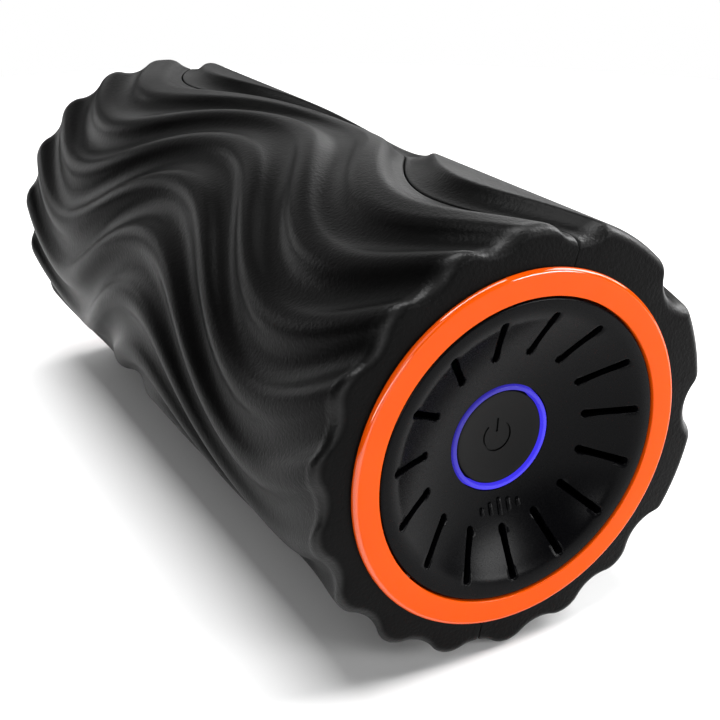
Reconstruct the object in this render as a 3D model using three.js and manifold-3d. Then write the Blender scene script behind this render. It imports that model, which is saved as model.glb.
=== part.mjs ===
// Vibrating foam roller. Two moulded foam half shells wrap a rigid tube. A trim ring and a dished,
// slotted cap close each end. Inside, a screwed chassis carries a motor with an eccentric weight on
// each end of its shaft, a battery pack and a circuit board.
// Millimetres. The roller's axis is Y, its middle is the origin, the power button faces -Y, +Z is up.
import * as THREE from "three";
import { mergeVertices } from "three/addons/utils/BufferGeometryUtils.js";
import Module from "manifold-3d";

const wasm = await Module();
wasm.setup();

// ---- Driving dimensions ----------------------------------------------------------------------

const GAP = 0.3; // clearance between neighbouring mouldings
const SEAT = 0.1; // clearance under a screw head, a nut or a seated component
const FOAM_LENGTH = 316;
const RING_PROUD = 2; // height of a trim ring's face above the foam's end face
const END_Y = FOAM_LENGTH / 2 + RING_PROUD;

// The widths of the foam's ridges in degrees, from valley to valley. Both lists run clockwise.
const RIGHT_RIDGES = [40, 40, 40, 20, 20, 20]; // from the upper seam
const LEFT_RIDGES = Array(9).fill(20); // from the lower seam
const WIDE_FROM = 30; // a ridge at least this wide has a broad flat crest
const FLANK = 10; // degrees from a valley to the nearest crest
const VALLEY_RADIUS = 71.3;
const NARROW_CREST_RADIUS = 74.8;
const WIDE_CREST_RADIUS = 76.5;
const SEAM_ANGLE = 78.7; // degrees from +X towards +Z, at the middle of the wave
const WAVE_SWING = 18; // degrees the valleys swing to each side along the roller
const WAVE_LENGTH = (FOAM_LENGTH * 2) / 3;
const WAVE_OFFSET = -0.8; // distance of the wave's middle trough from the roller's middle
const FOAM_INNER_RADIUS = 61.4;
const FOAM_EDGE = 2.6; // bevel round each end of the foam
const FOAM_ROWS = 13; // steps of the mesh along the roller
const DIAGONAL_TIE = 0.001; // diagonals of a mesh cell that differ by less count as equal

const TUBE_RADIUS = 60.4;
const TUBE_WALL = 3;
const TUBE_INNER_RADIUS = TUBE_RADIUS - TUBE_WALL;
const RING_RADIUS = 62;
const RING_INNER_RADIUS = 53.2;
const LIP_RADIUS = RING_INNER_RADIUS - 0.4;

// The dish is part of a sphere. Depths are measured inwards from the trim ring's face.
const DISH_SPHERE = 82;
const DISH_DEPTH = 15.6; // at the axis
const DISH_RADIUS = 47.6; // where the dish meets the flat lip
const DISH_WALL = 2.2;
const SLOT_COUNT = 15;
const SLOT_FIRST_ANGLE = 101.5;
const SLOT_INNER = 30.6;
const SLOT_OUTER = 47.5;
const SLOT_WIDTH = 2.2;
const FLANGE_DEPTH = 9.6;
const FLANGE_THICKNESS = 2.4;
const CAP_SCREW_RADIUS = 54.8; // pitch circle of the screws that hold a cap to the tube
const CAP_SCREW_ANGLES = [45, 135, 225, 315];
const CLIP_ANGLES = [0, 90, 180, 270];

const LIGHT_RADIUS = 18.7;
const LIGHT_INNER_RADIUS = 16.5;
const LIGHT_DEPTH = 12.9;
const BUTTON_RADIUS = 16;
const BUTTON_DEPTH = 13.6;
const BUTTON_TRAVEL = 1.2;
const LED_BOARD_DEPTH = 24;
const LED_BOARD_RADIUS = 28;
const LED_BOSS_RADIUS = 25; // pitch circle of the three screws that hold the light board
const LED_BOSS_ANGLES = [41.5, 161.5, 281.5];
const SWITCH_HEIGHT = 3.5;
const SOCKET_SEAT = 15.4; // depth of the flat that the charging socket sits on
const SOCKET_LENGTH = 12;

const CHASSIS_RADIUS = TUBE_INNER_RADIUS - 0.5;
const CHASSIS_HALF_LENGTH = 128;
const BULKHEAD = 4;
const BULKHEADS = [-128, -92, -60, 12, 46, 124]; // near face of each bulkhead
const RAIL_INNER = 40;
const RAIL_OUTER = 48;
const RAIL_HEIGHT = 8;
const CHASSIS_SCREWS = [[-44, -108], [44, -108], [-44, 86], [44, 86]];
const WIRE_CIRCLE = 44; // radius of the circle that the wire holes lie on
const WIRE_HOLE_ANGLES = [60, 90, 120];
const WIRE_RADIUS = 0.9;
const CHARGE_HOLE_Z = 30;

const MOTOR_RADIUS = 19;
const MOTOR_FRONT = -54;
const MOTOR_REAR = 6;
const SHAFT_RADIUS = 2.5;
const SHAFT_BORE = SHAFT_RADIUS + 0.1;
const SHAFT_FRONT = -86;
const SHAFT_REAR = 39;
const WEIGHT_RADIUS = 20;
const WEIGHT_THICKNESS = 14;
const WEIGHT_FRONTS = [-82, 21];

const CELL_RADIUS = 9.2;
const CELL_LENGTH = 65;
const CELL_FRONT = 54;
const CELL_SPACING = 19.2;
const TRAY_FLOOR = -17;
const CELL_Z = TRAY_FLOOR + GAP + CELL_RADIUS;
const BOARD_Z = 12.3;
const BOARD_THICKNESS = 1.6;
const BOARD_SCREWS = [[-22, 70], [22, 98]];

// ---- Solids ----------------------------------------------------------------------------------

const radians = (degrees) => (degrees * Math.PI) / 180;
const sum = (numbers) => numbers.reduce((total, number) => total + number, 0);
const onCircle = (radius, degrees) => [
  radius * Math.cos(radians(degrees)),
  radius * Math.sin(radians(degrees)),
];

// A closed geometry as a solid, turned right side out.
function solid(geometry) {
  const bare = new THREE.BufferGeometry();
  bare.setAttribute("position", geometry.getAttribute("position"));
  bare.setIndex(geometry.index);
  const merged = mergeVertices(bare, 1e-4);
  const vertProperties = new Float32Array(merged.attributes.position.array);
  const triVerts = new Uint32Array(merged.index.array);
  const made = new wasm.Manifold(new wasm.Mesh({ numProp: 3, vertProperties, triVerts }));
  if (made.volume() > 0) return made;
  triVerts.reverse();
  return new wasm.Manifold(new wasm.Mesh({ numProp: 3, vertProperties, triVerts }));
}

function geometryOf(made) {
  const { vertProperties, triVerts } = made.getMesh();
  const geometry = new THREE.BufferGeometry();
  geometry.setAttribute("position", new THREE.BufferAttribute(new Float32Array(vertProperties), 3));
  geometry.setIndex(new THREE.BufferAttribute(new Uint32Array(triVerts), 1));
  geometry.computeVertexNormals();
  return geometry;
}

const join = (...solids) => solids.reduce((all, one) => all.add(one));
const cut = (body, ...tools) => tools.reduce((left, tool) => left.subtract(tool), body);

// A profile of [radius, y] points turned about the Y axis. It closes on itself or on the axis.
// Its first facet edge is at 90 degrees from +X, less `turn`.
function turned(profile, segments = 32, turn = 0) {
  const points = profile.map(([radius, y]) => new THREE.Vector2(radius, y));
  const onAxis = profile[0][0] === 0 && profile.at(-1)[0] === 0;
  if (!onAxis) points.push(points[0].clone());
  return solid(new THREE.LatheGeometry(points, segments).rotateY(radians(turn)));
}

// A round bar along Y from y0 to y1, centred on (x, z).
function bar(radius, y0, y1, { x = 0, z = 0, segments = 16 } = {}) {
  const geometry = new THREE.CylinderGeometry(radius, radius, y1 - y0, segments);
  return solid(geometry.translate(x, (y0 + y1) / 2, z));
}

// A round bar along Z from z0 to z1, centred on (x, y).
function post(radius, z0, z1, x, y, segments = 16) {
  const geometry = new THREE.CylinderGeometry(radius, radius, z1 - z0, segments);
  return solid(geometry.rotateX(Math.PI / 2).translate(x, y, (z0 + z1) / 2));
}

const pipe = (outer, inner, y0, y1, segments = 32) =>
  turned([[inner, y0], [outer, y0], [outer, y1], [inner, y1]], segments);

function block([x0, x1], [y0, y1], [z0, z1]) {
  const geometry = new THREE.BoxGeometry(x1 - x0, y1 - y0, z1 - z0);
  return solid(geometry.translate((x0 + x1) / 2, (y0 + y1) / 2, (z0 + z1) / 2));
}

// An outline drawn in the X-Z plane, filled from y0 to y1.
function plate(shape, y0, y1, curveSegments = 12) {
  const options = { depth: y1 - y0, bevelEnabled: false, curveSegments };
  const geometry = new THREE.ExtrudeGeometry(shape, options);
  return solid(geometry.rotateX(Math.PI / 2).translate(0, y1, 0));
}

// Part of a ring in the X-Z plane between two angles.
function arcShape(inner, outer, from, to) {
  const shape = new THREE.Shape();
  shape.absarc(0, 0, outer, radians(from), radians(to), false);
  shape.absarc(0, 0, inner, radians(to), radians(from), true);
  shape.closePath();
  return shape;
}

// A radial slot with round ends, from radius `inner` to radius `outer`.
function slotShape(inner, outer, width, angle) {
  const half = width / 2;
  const turn = radians(angle);
  const [x0, z0] = onCircle(inner + half, angle);
  const [x1, z1] = onCircle(outer - half, angle);
  const shape = new THREE.Shape();
  shape.absarc(x1, z1, half, turn - Math.PI / 2, turn + Math.PI / 2, false);
  shape.absarc(x0, z0, half, turn + Math.PI / 2, turn + (3 * Math.PI) / 2, false);
  shape.closePath();
  return shape;
}

// A slotted pan-head screw: head from y = 0 to y = head, then the shank.
function screwSolid({ headRadius, head, shankRadius, length }) {
  const end = head + length;
  const profile = [
    [0, 0], [headRadius, 0], [headRadius, head], [shankRadius, head], [shankRadius, end], [0, end],
  ];
  const slotLength = headRadius * 2.2;
  const slotWidth = headRadius * 0.3;
  const slot = block([-slotLength / 2, slotLength / 2], [-1, head / 2], [-slotWidth / 2, slotWidth / 2]);
  return cut(turned(profile, 8), slot);
}

function wireSolid(points, steps = 16, radius = WIRE_RADIUS) {
  const vectors = points.map((point) => new THREE.Vector3(...point));
  const curve = new THREE.CatmullRomCurve3(vectors, false, "centripetal");
  const section = new THREE.Shape().absarc(0, 0, radius, 0, 2 * Math.PI, false);
  const options = { steps, extrudePath: curve, curveSegments: 3, bevelEnabled: false };
  return solid(new THREE.ExtrudeGeometry(section, options));
}

// ---- Materials and scene graph ---------------------------------------------------------------

const finish = (color, roughness, metalness = 0) => ({ color, roughness, metalness });
const FOAM = finish(0x1c1c1d, 0.6);
const ORANGE_PLASTIC = finish(0xf9682b, 0.32);
const BLACK_PLASTIC = finish(0x141415, 0.38);
const BUTTON_PLASTIC = finish(0x1a1a1b, 0.45);
const LIGHT_PLASTIC = finish(0x5a4be8, 0.3);
const CORE_PLASTIC = finish(0x2b2b2e, 0.55);
const STEEL = finish(0xb9bcc0, 0.35, 1);
const COPPER = finish(0xb87333, 0.4, 1);
const BRASS = finish(0xc2a14d, 0.35, 1);
const CIRCUIT_BOARD = finish(0x1d5b34, 0.5);
const CELL_WRAP = finish(0x2f8fb5, 0.4);
const MAGNET = finish(0x3a3a3e, 0.7);
const RED_WIRE = finish(0xb32020, 0.5);
const BLACK_WIRE = finish(0x171717, 0.5);

const roller = new THREE.Group();
const front = new THREE.Group(); // its y = 0 is the trim ring's face, and +y runs into the roller
front.position.y = -END_Y;
const rear = new THREE.Group();
rear.position.y = END_Y;
rear.rotation.z = Math.PI;
roller.add(front, rear);

function place(parent, name, made, look, move = {}) {
  const mesh = new THREE.Mesh(geometryOf(made), new THREE.MeshStandardMaterial(look));
  mesh.name = name;
  mesh.position.set(...(move.at ?? [0, 0, 0]));
  mesh.rotation.set(...(move.turn ?? [0, 0, 0]));
  parent.add(mesh);
  return mesh;
}

// ---- Foam sleeve -----------------------------------------------------------------------------

// Every valley follows the same wave along the roller. Degrees.
function waveShift(y) {
  return -WAVE_SWING * Math.cos((2 * Math.PI * (y - WAVE_OFFSET)) / WAVE_LENGTH);
}

// Radius of the foam at a distance, in degrees, past the valley that starts a ridge.
function ridgeRadius(past, width) {
  const crest = width < WIDE_FROM ? NARROW_CREST_RADIUS : WIDE_CREST_RADIUS;
  const toValley = Math.min(past, width - past, FLANK);
  const rise = (1 - Math.cos((Math.PI * toValley) / FLANK)) / 2;
  return VALLEY_RADIUS + (crest - VALLEY_RADIUS) * rise;
}

// Where the mesh samples a ridge, in degrees past its first valley. The bore takes every other one.
function ridgeColumns(width) {
  const half = FLANK / 2;
  if (width < WIDE_FROM) return [0, half, width / 2, width - half];
  return [0, half, FLANK, width / 2, width - FLANK, width - half];
}

// Two triangles for each cell of a grid of vertex numbers, split along the shorter diagonal. Equal
// diagonals always split the same way, so that the faces on both sides of a seam stay parallel.
function gridTriangles(grid, points, flip) {
  const triangles = [];
  for (let i = 0; i + 1 < grid.length; i++) {
    for (let j = 0; j + 1 < grid[i].length; j++) {
      const [a, b, c, d] = [grid[i][j], grid[i][j + 1], grid[i + 1][j + 1], grid[i + 1][j]];
      const acrossAC = points[a].distanceTo(points[c]) < points[b].distanceTo(points[d]) + DIAGONAL_TIE;
      const pair = acrossAC ? [[a, b, c], [a, c, d]] : [[a, b, d], [b, c, d]];
      triangles.push(...pair.map(([p, q, r]) => (flip ? [p, r, q] : [p, q, r])));
    }
  }
  return triangles;
}

// One half shell: its ridges run clockwise from `start` as seen from the front end.
function foamHalf(start, widths) {
  const seamTrim = (GAP / 2 / VALLEY_RADIUS) * (180 / Math.PI);
  const columns = [];
  let valley = 0;
  for (const width of widths) {
    for (const past of ridgeColumns(width)) {
      columns.push({ past: valley + past, radius: ridgeRadius(past, width) });
    }
    valley += width;
  }
  columns.push({ past: valley, radius: VALLEY_RADIUS });
  columns[0].past += seamTrim;
  columns.at(-1).past -= seamTrim;

  const half = FOAM_LENGTH / 2;
  const inside = half - FOAM_EDGE;
  const levels = [[-half, FOAM_EDGE]];
  for (let i = 0; i <= FOAM_ROWS; i++) levels.push([-inside + (2 * inside * i) / FOAM_ROWS, 0]);
  levels.push([half, FOAM_EDGE]);

  const points = [];
  const addPoint = (radius, past, y) => {
    const [x, z] = onCircle(radius, start - past + waveShift(y));
    return points.push(new THREE.Vector3(x, y, z)) - 1;
  };
  const outer = levels.map(([y, bevel]) => columns.map((c) => addPoint(c.radius - bevel, c.past, y)));
  const innerColumns = columns.filter((c, k) => k % 2 === 0);
  const inner = levels.map(([y]) => innerColumns.map((c) => addPoint(FOAM_INNER_RADIUS, c.past, y)));

  const triangles = [...gridTriangles(outer, points, false), ...gridTriangles(inner, points, true)];
  const endFace = (outerRow, innerRow, flip) => {
    for (let k = 0; k + 1 < innerRow.length; k++) {
      const [o0, o1, o2] = outerRow.slice(2 * k, 2 * k + 3);
      const fan = [[innerRow[k], o1, o0], [innerRow[k], innerRow[k + 1], o1], [innerRow[k + 1], o2, o1]];
      triangles.push(...fan.map(([p, q, r]) => (flip ? [p, r, q] : [p, q, r])));
    }
  };
  endFace(outer[0], inner[0], false);
  endFace(outer.at(-1), inner.at(-1), true);
  const seamFace = (side, flip) => {
    const strip = levels.map((level, i) => [outer[i].at(side), inner[i].at(side)]);
    triangles.push(...gridTriangles(strip, points, flip));
  };
  seamFace(0, true);
  seamFace(-1, false);

  const geometry = new THREE.BufferGeometry().setFromPoints(points);
  geometry.setIndex(triangles.flat());
  return solid(geometry);
}

function addFoam() {
  place(roller, "foam_shell_right", foamHalf(SEAM_ANGLE, RIGHT_RIDGES), FOAM);
  place(roller, "foam_shell_left", foamHalf(SEAM_ANGLE - sum(RIGHT_RIDGES), LEFT_RIDGES), FOAM);
}

// ---- Tube ------------------------------------------------------------------------------------

function addTube() {
  const end = END_Y - RING_PROUD - GAP;
  const bossNear = END_Y - FLANGE_DEPTH - FLANGE_THICKNESS - GAP;
  const bossFar = CHASSIS_HALF_LENGTH + 0.4;
  const pieces = [pipe(TUBE_RADIUS, TUBE_INNER_RADIUS, -end, end, 40)];
  const holes = [];
  for (const side of [-1, 1]) {
    for (const angle of CAP_SCREW_ANGLES) {
      const [x, z] = onCircle(CAP_SCREW_RADIUS, angle);
      const [y0, y1] = side < 0 ? [-bossNear, -bossFar] : [bossFar, bossNear];
      pieces.push(bar(3, y0, y1, { x, z, segments: 6 }));
      const [h0, h1] = side < 0 ? [-bossNear - 1, -bossNear + 12] : [bossNear - 12, bossNear + 1];
      holes.push(bar(1.35, h0, h1, { x, z, segments: 6 }));
    }
  }
  for (const side of [-1, 1]) {
    const rib = [side * (TUBE_INNER_RADIUS - 2.2), side * (TUBE_INNER_RADIUS + 0.6)].sort((a, b) => a - b);
    pieces.push(block([-1.5, 1.5], [-bossFar, bossFar], rib));
  }
  place(roller, "core_tube", cut(join(...pieces), ...holes), CORE_PLASTIC);
}

// ---- End parts, in an end's own frame --------------------------------------------------------

function dishDepth(radius) {
  return DISH_DEPTH - (DISH_SPHERE - Math.sqrt(DISH_SPHERE ** 2 - radius ** 2));
}

function ringSolid() {
  const under = RING_PROUD - GAP;
  const disc = turned(
    [[RING_INNER_RADIUS, 0], [RING_RADIUS - 0.7, 0], [RING_RADIUS, 0.7], [RING_RADIUS, under],
      [RING_INNER_RADIUS, under + 1]],
    48,
  );
  const flangeBack = FLANGE_DEPTH + FLANGE_THICKNESS;
  const hookEnd = flangeBack + 1.6;
  const clips = CLIP_ANGLES.flatMap((angle) => [
    plate(arcShape(54.6, 56.6, angle - 7, angle + 7), under - 0.6, hookEnd, 1),
    plate(arcShape(53.4, 55, angle - 7, angle + 7), flangeBack + GAP, hookEnd, 1),
  ]);
  return join(disc, ...clips);
}

// The dished cap. Its front and back centre points carry the profile in from the dish's inner radius.
function capSolid(innerRadius, frontCentre, backCentre) {
  const dishRadii = [innerRadius, SLOT_INNER - 1.4, DISH_RADIUS];
  const frontDish = dishRadii.map((r) => [r, dishDepth(r)]);
  const backDish = dishRadii.slice(0, -1).map((r) => [r, dishDepth(r) + DISH_WALL]).reverse();
  const flangeBack = FLANGE_DEPTH + FLANGE_THICKNESS;
  const profile = [
    ...frontCentre, ...frontDish,
    [51.8, 0.4], [LIP_RADIUS, 1.4], [LIP_RADIUS, FLANGE_DEPTH], [57, FLANGE_DEPTH], [57, flangeBack],
    [50.2, flangeBack], [50.2, 3.6], ...backDish, ...backCentre,
  ];
  const slots = [];
  for (let k = 0; k < SLOT_COUNT; k++) {
    const angle = SLOT_FIRST_ANGLE - (360 / SLOT_COUNT) * k;
    slots.push(plate(slotShape(SLOT_INNER, SLOT_OUTER, SLOT_WIDTH, angle), -1, DISH_DEPTH, 1));
  }
  const notches = CLIP_ANGLES.map((angle) =>
    plate(arcShape(53.1, 58, angle - 8, angle + 8), FLANGE_DEPTH - 1, flangeBack + 1, 1));
  const screwHoles = CAP_SCREW_ANGLES.map((angle) => {
    const [x, z] = onCircle(CAP_SCREW_RADIUS, angle);
    return bar(1.35, FLANGE_DEPTH - 1, flangeBack + 1, { x, z, segments: 8 });
  });
  const facet = 360 / (2 * SLOT_COUNT); // each slot lies in the middle of one
  const dish = turned(profile, 2 * SLOT_COUNT, 90 + facet / 2 - SLOT_FIRST_ANGLE);
  return cut(dish, ...slots, ...notches, ...screwHoles);
}

function addRingAndScrews(end, label) {
  place(end, `${label}_ring`, ringSolid(), ORANGE_PLASTIC);
  const head = 1.8;
  const shape = screwSolid({ headRadius: 1.9, head, shankRadius: 1, length: 12 });
  CAP_SCREW_ANGLES.forEach((angle, k) => {
    const [x, z] = onCircle(CAP_SCREW_RADIUS, angle);
    const at = [x, FLANGE_DEPTH - SEAT - head, z];
    place(end, `${label}_cap_screw_${k + 1}`, shape, STEEL, { at });
  });
}

function addFrontCap() {
  const hole = LIGHT_RADIUS + 0.4;
  const bosses = LED_BOSS_ANGLES.map((angle) => {
    const [x, z] = onCircle(LED_BOSS_RADIUS, angle);
    return bar(2.6, 12.9, LED_BOARD_DEPTH - SEAT, { x, z, segments: 12 });
  });
  const pilots = LED_BOSS_ANGLES.map((angle) => {
    const [x, z] = onCircle(LED_BOSS_RADIUS, angle);
    return bar(1.1, 16, LED_BOARD_DEPTH + 1, { x, z, segments: 10 });
  });
  place(front, "front_cap", cut(join(capSolid(hole, [], []), ...bosses), ...pilots), BLACK_PLASTIC);
}

function addLightRing() {
  const flange = 16;
  const profile = [
    [LIGHT_INNER_RADIUS, LIGHT_DEPTH], [LIGHT_RADIUS - 0.4, LIGHT_DEPTH], [LIGHT_RADIUS, LIGHT_DEPTH + 0.4],
    [LIGHT_RADIUS, flange], [21.5, flange], [21.5, flange + 1.4], [LIGHT_INNER_RADIUS, flange + 1.4],
  ];
  place(front, "light_ring", turned(profile, 32), LIGHT_PLASTIC);
}

function addButton() {
  const top = BUTTON_DEPTH;
  const back = top + 2.6;
  const skirt = back + 2.4;
  const profile = [
    [0, top + 0.8], [10, top + 0.5], [15.4, top], [BUTTON_RADIUS, top + 0.5],
    [BUTTON_RADIUS, 17.8], [17.6, 17.8], [17.6, skirt], [14.6, skirt], [14.6, back], [3, back],
    [3, skirt], [0, skirt],
  ];
  const strokes = [
    plate(arcShape(5.1, 6, -230, 50), top - 1, top + 1, 8),
    block([-0.45, 0.45], [top - 1, top + 1.1], [1.2, 7]),
  ];
  place(front, "power_button", cut(turned(profile, 28), ...strokes), BUTTON_PLASTIC);

  const wire = 0.4;
  const nearEnd = back + SEAT + wire;
  const farEnd = LED_BOARD_DEPTH - SEAT - wire;
  const steps = 35; // ten to a turn of the coil
  const coil = [];
  for (let k = 0; k <= steps; k++) {
    const [x, z] = onCircle(9.8, 36 * k);
    coil.push([x, nearEnd + ((farEnd - nearEnd) * k) / steps, z]);
  }
  place(front, "button_spring", wireSolid(coil, steps, wire), STEEL);
}

function addLightBoard() {
  const near = LED_BOARD_DEPTH;
  const lights = Array.from({ length: 8 }, (_, k) => {
    const [x, z] = onCircle(17.4, 45 * k + 22.5);
    return block([x - 1.3, x + 1.3], [near - 1, near + 0.5], [z - 1.3, z + 1.3]);
  });
  const connector = block([-4, 4], [near + 1, near + 5], [-16, -10]);
  const holes = LED_BOSS_ANGLES.map((angle) => {
    const [x, z] = onCircle(LED_BOSS_RADIUS, angle);
    return bar(1.3, near - 2, near + 3, { x, z, segments: 10 });
  });
  const disc = bar(LED_BOARD_RADIUS, near, near + BOARD_THICKNESS, { segments: 32 });
  place(front, "led_board", cut(join(disc, ...lights, connector), ...holes), CIRCUIT_BOARD);

  const head = 1.5;
  const screw = screwSolid({ headRadius: 2.2, head, shankRadius: 0.8, length: 6 });
  LED_BOSS_ANGLES.forEach((angle, k) => {
    const [x, z] = onCircle(LED_BOSS_RADIUS, angle);
    const at = [x, near + BOARD_THICKNESS + SEAT + head, z];
    place(front, `led_board_screw_${k + 1}`, screw, STEEL, { at, turn: [Math.PI, 0, 0] });
  });

  const face = near - SEAT - SWITCH_HEIGHT;
  const well = bar(3.7, face - 1, face + 1.2 + BUTTON_TRAVEL, { segments: 12 });
  const body = block([-6, 6], [face, near - SEAT], [-6, 6]);
  place(front, "switch_body", cut(body, well), CORE_PLASTIC);
  const tip = face - 1.6;
  const plunger = turned([[0, tip], [2.4, tip], [3.3, tip + 1.4], [3.3, face + 0.9], [0, face + 0.9]], 12);
  place(front, "switch_plunger", plunger, BLACK_PLASTIC);
}

function addRearCapAndSocket() {
  const flat = SOCKET_SEAT;
  const hole = 5.9;
  const cap = capSolid(18.7, [[hole, flat], [9, flat]], [[9, flat + DISH_WALL], [hole, flat + DISH_WALL]]);
  place(rear, "rear_cap", cap, BLACK_PLASTIC);

  const seat = flat - SEAT;
  const socketBack = flat + SOCKET_LENGTH;
  const rim = seat - 1.5;
  const profile = [
    [0, flat + 8], [3.2, flat + 8], [3.2, rim + 0.4], [3.8, rim], [6.6, rim], [7.2, rim + 0.6], [7.2, seat],
    [5.6, seat], [5.6, socketBack], [0, socketBack],
  ];
  const barrel = turned(profile, 16);
  const pin = turned([[0, seat - 0.4], [0.7, seat - 0.4], [1, seat], [1, flat + 9], [0, flat + 9]], 8);
  place(rear, "charge_socket", join(barrel, pin), BLACK_PLASTIC);
  const nutFace = flat + DISH_WALL + SEAT;
  const nut = cut(bar(8, nutFace, nutFace + 2.6, { segments: 6 }), bar(5.9, nutFace - 1, nutFace + 4));
  place(rear, "socket_nut", nut, BRASS);
}

// ---- Chassis ---------------------------------------------------------------------------------

// Half of the frame that carries the motor and the battery: side is 1 for the upper, -1 for the lower.
function chassisHalf(side) {
  const faces = (a, b) => (side > 0 ? [a, b] : [-b, -a]);
  const half = new THREE.Shape();
  const from = side > 0 ? 0 : Math.PI;
  half.absarc(0, 0, CHASSIS_RADIUS, from, from + Math.PI, false);
  half.closePath();
  const pieces = BULKHEADS.map((y) => plate(half, y, y + BULKHEAD, 8));
  for (const x of [[RAIL_INNER, RAIL_OUTER], [-RAIL_OUTER, -RAIL_INNER]]) {
    pieces.push(block(x, [-CHASSIS_HALF_LENGTH, CHASSIS_HALF_LENGTH], faces(0, RAIL_HEIGHT)));
  }
  pieces.push(pipe(MOTOR_RADIUS + 4, MOTOR_RADIUS + 0.4, MOTOR_FRONT - 3, MOTOR_REAR + 8, 24));
  if (side < 0) {
    const trayX = 1.5 * CELL_SPACING + 2;
    const trayY = [BULKHEADS[4] + 1, BULKHEADS[5] + 1];
    pieces.push(block([-trayX, trayX], trayY, [TRAY_FLOOR - 3, TRAY_FLOOR]));
    pieces.push(block([trayX - 2, trayX], trayY, [TRAY_FLOOR - 1, 0]));
    pieces.push(block([-trayX, 2 - trayX], trayY, [TRAY_FLOOR - 1, 0]));
  }
  const tools = [block([-80, 80], [-200, 200], faces(-80, 0.15))];
  tools.push(block([-2, 2], [-200, 200], faces(TUBE_INNER_RADIUS - 2.6, 80)));
  tools.push(bar(8, -70, MOTOR_FRONT + 1, { segments: 24 }));
  tools.push(bar(16, 0, 20, { segments: 24 }));
  if (side > 0) {
    for (const angle of WIRE_HOLE_ANGLES) {
      const [x, z] = onCircle(WIRE_CIRCLE, angle);
      tools.push(bar(3, -200, 60, { x, z, segments: 6 }));
    }
    tools.push(bar(3, 110, 140, { x: 0, z: CHARGE_HOLE_Z, segments: 6 }));
  }
  for (const [x, y] of CHASSIS_SCREWS) {
    tools.push(post(1.8, ...faces(-1, 20), x, y, 8));
  }
  return cut(join(...pieces), ...tools);
}

function addChassis() {
  place(roller, "chassis_lower", chassisHalf(-1), CORE_PLASTIC);
  place(roller, "chassis_upper", chassisHalf(1), CORE_PLASTIC);
  const head = 2.2;
  const screw = screwSolid({ headRadius: 3, head, shankRadius: 1.4, length: 14 });
  CHASSIS_SCREWS.forEach(([x, y], k) => {
    const at = [x, y, RAIL_HEIGHT + SEAT + head];
    place(roller, `chassis_screw_${k + 1}`, screw, STEEL, { at, turn: [-Math.PI / 2, 0, 0] });
  });
}

// ---- Motor -----------------------------------------------------------------------------------

function addMotor() {
  const can = turned([
    [5, MOTOR_FRONT - 3], [6.5, MOTOR_FRONT - 3], [6.5, MOTOR_FRONT], [MOTOR_RADIUS, MOTOR_FRONT],
    [MOTOR_RADIUS, MOTOR_REAR], [MOTOR_RADIUS - 1.2, MOTOR_REAR], [MOTOR_RADIUS - 1.2, MOTOR_FRONT + 1.4],
    [5, MOTOR_FRONT + 1.4],
  ], 24);
  place(roller, "motor_can", can, STEEL);

  const bell = turned([
    [5, MOTOR_REAR + SEAT], [MOTOR_RADIUS, MOTOR_REAR + SEAT], [MOTOR_RADIUS, MOTOR_REAR + 3],
    [6.5, MOTOR_REAR + 3], [6.5, MOTOR_REAR + 6], [5, MOTOR_REAR + 6],
  ], 24);
  const tab = (x) => block([x - 1.5, x + 1.5], [MOTOR_REAR + 2, MOTOR_REAR + 10], [7.6, 8.4]);
  place(roller, "motor_end_bell", join(bell, tab(11), tab(-11)), BLACK_PLASTIC);

  const bush = (y0, y1) => pipe(4.7, SHAFT_BORE, y0, y1, 16);
  place(roller, "motor_bush_front", bush(MOTOR_FRONT - 3, MOTOR_FRONT + 1.4), BRASS);
  place(roller, "motor_bush_rear", bush(MOTOR_REAR + 1, MOTOR_REAR + 6), BRASS);

  const magnet = (from) => plate(arcShape(14.2, 17.5, from, from + 130), MOTOR_FRONT + 8, MOTOR_REAR - 8, 4);
  place(roller, "magnet_right", magnet(-65), MAGNET);
  place(roller, "magnet_left", magnet(115), MAGNET);
}

// The rotor: shaft, wound core, commutator and a weight on each end.
function addRotor() {
  place(roller, "motor_shaft", bar(SHAFT_RADIUS, SHAFT_FRONT, SHAFT_REAR, { segments: 16 }), STEEL);

  const core = pipe(13.6, SHAFT_BORE, MOTOR_FRONT + 10, MOTOR_REAR - 10, 20);
  const grooves = Array.from({ length: 5 }, (_, k) =>
    plate(slotShape(8, 15, 1.6, 72 * k), MOTOR_FRONT, MOTOR_REAR, 2));
  place(roller, "armature", cut(core, ...grooves), COPPER);
  place(roller, "commutator", pipe(5, SHAFT_BORE, MOTOR_REAR - 9.6, MOTOR_REAR - 1, 16), COPPER);

  WEIGHT_FRONTS.forEach((y, k) => {
    const moon = new THREE.Shape();
    moon.absarc(0, 0, WEIGHT_RADIUS, Math.PI, 2 * Math.PI, false);
    moon.closePath();
    const hub = bar(7.5, y, y + WEIGHT_THICKNESS, { segments: 16 });
    const bore = bar(SHAFT_BORE, y - 1, y + WEIGHT_THICKNESS + 1, { segments: 16 });
    const middle = y + WEIGHT_THICKNESS / 2;
    const tapped = post(1.7, SHAFT_RADIUS - 1, 12, 0, middle, 8);
    const weight = cut(join(plate(moon, y, y + WEIGHT_THICKNESS, 7), hub), bore, tapped);
    const label = k === 0 ? "front" : "rear";
    place(roller, `eccentric_weight_${label}`, weight, BRASS);
    const screw = cut(
      post(1.4, SHAFT_RADIUS + 0.2, 7, 0, middle, 8),
      block([-0.7, 0.7], [middle - 0.7, middle + 0.7], [5.6, 9]),
    );
    place(roller, `weight_screw_${label}`, screw, STEEL);
  });
}

// ---- Battery, circuit board and wires --------------------------------------------------------

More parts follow.
